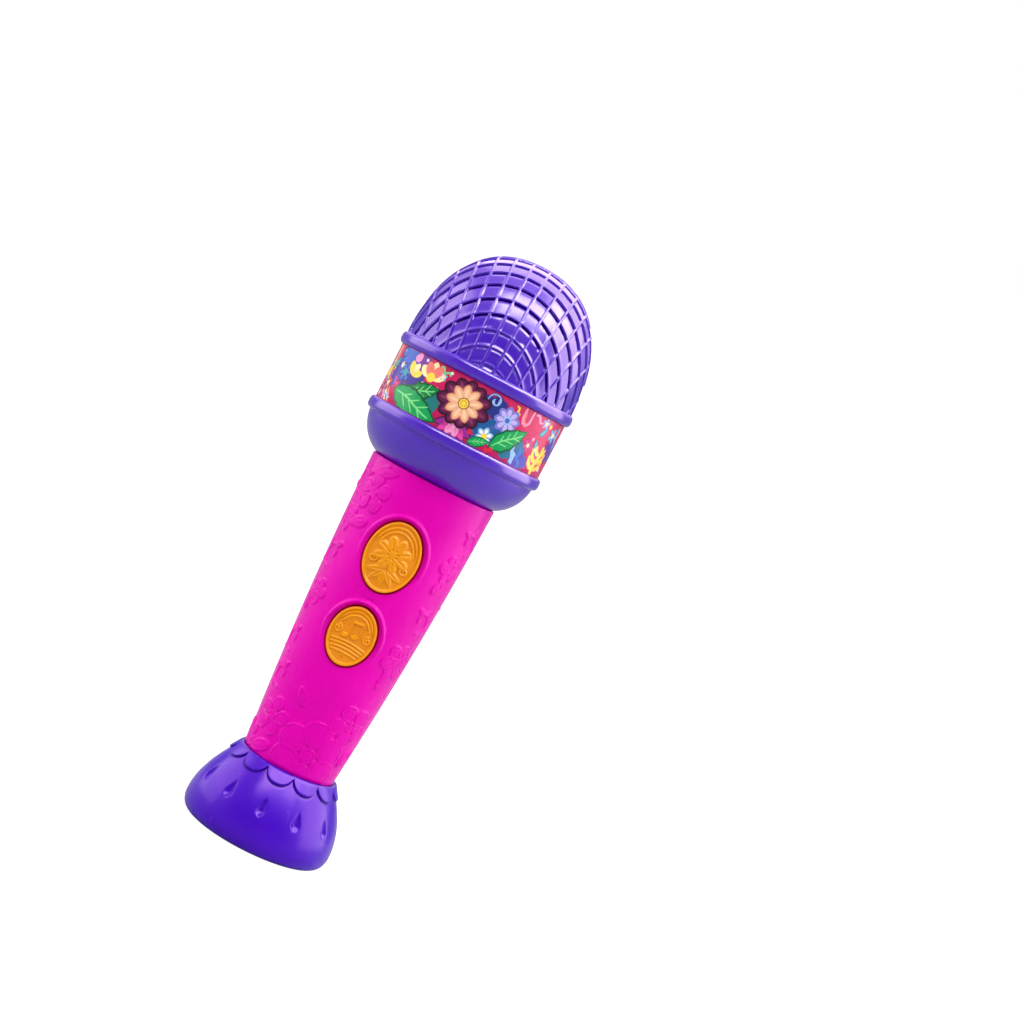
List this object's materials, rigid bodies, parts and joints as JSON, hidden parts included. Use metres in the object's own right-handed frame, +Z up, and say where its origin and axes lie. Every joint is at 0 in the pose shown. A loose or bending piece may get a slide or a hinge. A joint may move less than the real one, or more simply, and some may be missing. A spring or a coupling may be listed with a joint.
{
  "type": "toy microphone",
  "caption": "Child's hand-held toy microphone with a domed grille, printed head band, tapered handle with press buttons, rear battery door and a flared foot.",
  "frame": {"origin": "centre of the underside of the foot, on the ground when the toy stands", "axes": "+Z up the handle's axis to the top of the dome, -Y the front with the buttons, +X to the right seen from behind"},
  "size_m": [0.0594, 0.0594, 0.2],
  "materials": {
    "handle_plastic": "glossy magenta moulded plastic",
    "dome_plastic": "glossy violet moulded plastic",
    "foot_plastic": "glossy violet moulded plastic",
    "button_plastic": "glossy amber moulded plastic",
    "label_film": "printed glossy film",
    "silicone": "satin",
    "board_laminate": "solder mask",
    "chip_resin": "black potting resin",
    "capacitor_sleeve": "shrink sleeve",
    "cell_wrap": "shrink wrap",
    "contact_nickel": "nickel plated spring steel",
    "screw_steel": "zinc plated",
    "black_rubber": "satin",
    "red_wire": "PVC insulation",
    "black_wire": "PVC insulation",
    "speaker_steel": "pressed steel",
    "magnet_ferrite": "ferrite with pressed cover",
    "cone_paper": "coated paper",
    "gasket_foam": "foam"
  },
  "bodies": {
    "housing": {"foot_shell": "foot_plastic", "foot_plate": "foot_plastic", "foot_screws": "screw_steel", "handle_front": "handle_plastic", "handle_rear": "handle_plastic", "shell_screws": "screw_steel", "button_pad": "silicone", "main_board": "board_laminate", "sound_chip": "chip_resin", "capacitor": "capacitor_sleeve", "board_screws": "screw_steel", "battery_left": "cell_wrap", "battery_right": "cell_wrap", "jumper_contact": "contact_nickel", "jumper_spring": "contact_nickel", "positive_contact": "contact_nickel", "negative_contact": "contact_nickel", "negative_spring": "contact_nickel", "battery_wire_red": "red_wire", "battery_wire_black": "black_wire", "head_cup": "dome_plastic", "label_band": "label_film", "grille_dome": "dome_plastic", "speaker_frame": "speaker_steel", "speaker_magnet": "magnet_ferrite", "speaker_cone": "cone_paper", "speaker_gasket": "gasket_foam", "speaker_screws": "screw_steel", "speaker_wire_red": "red_wire", "speaker_wire_black": "black_wire"},
    "upper_button": {"upper_button": "button_plastic"},
    "lower_button": {"lower_button": "button_plastic"},
    "battery_door": {"battery_door": "handle_plastic"},
    "screw_carrier": {"screw_retainer": "black_rubber"},
    "door_screw": {"door_screw": "screw_steel"}
  },
  "joints": [
    {"name": "upper_button_press", "type": "slide", "parent": "housing", "child": "upper_button", "axis": [0, 1, 0], "range_m": [0, 0.001], "stiffness_N_per_m": 900, "deforming": ["button_pad"]},
    {"name": "lower_button_press", "type": "slide", "parent": "housing", "child": "lower_button", "axis": [0, 1, 0], "range_m": [0, 0.001], "stiffness_N_per_m": 900, "deforming": ["button_pad"]},
    {"name": "battery_door_open", "type": "hinge", "parent": "housing", "child": "battery_door", "pos_m": [0, 0.01704, 0.0455], "axis": [-1, 0, 0], "range_deg": [0, 65]},
    {"name": "screw_withdraw", "type": "slide", "parent": "battery_door", "child": "screw_carrier", "axis": [0, 1, 0], "range_m": [0, 0.0032]},
    {"name": "door_screw_turn", "type": "hinge", "parent": "screw_carrier", "child": "door_screw", "pos_m": [0, 0.0182, 0.1033], "axis": [0, -1, 0], "range_deg": [0, 1440]}
  ],
  "couplings": [
    {"joint": "door_screw_turn", "follows": "screw_withdraw", "rad_per_m": 7853.9}
  ]
}
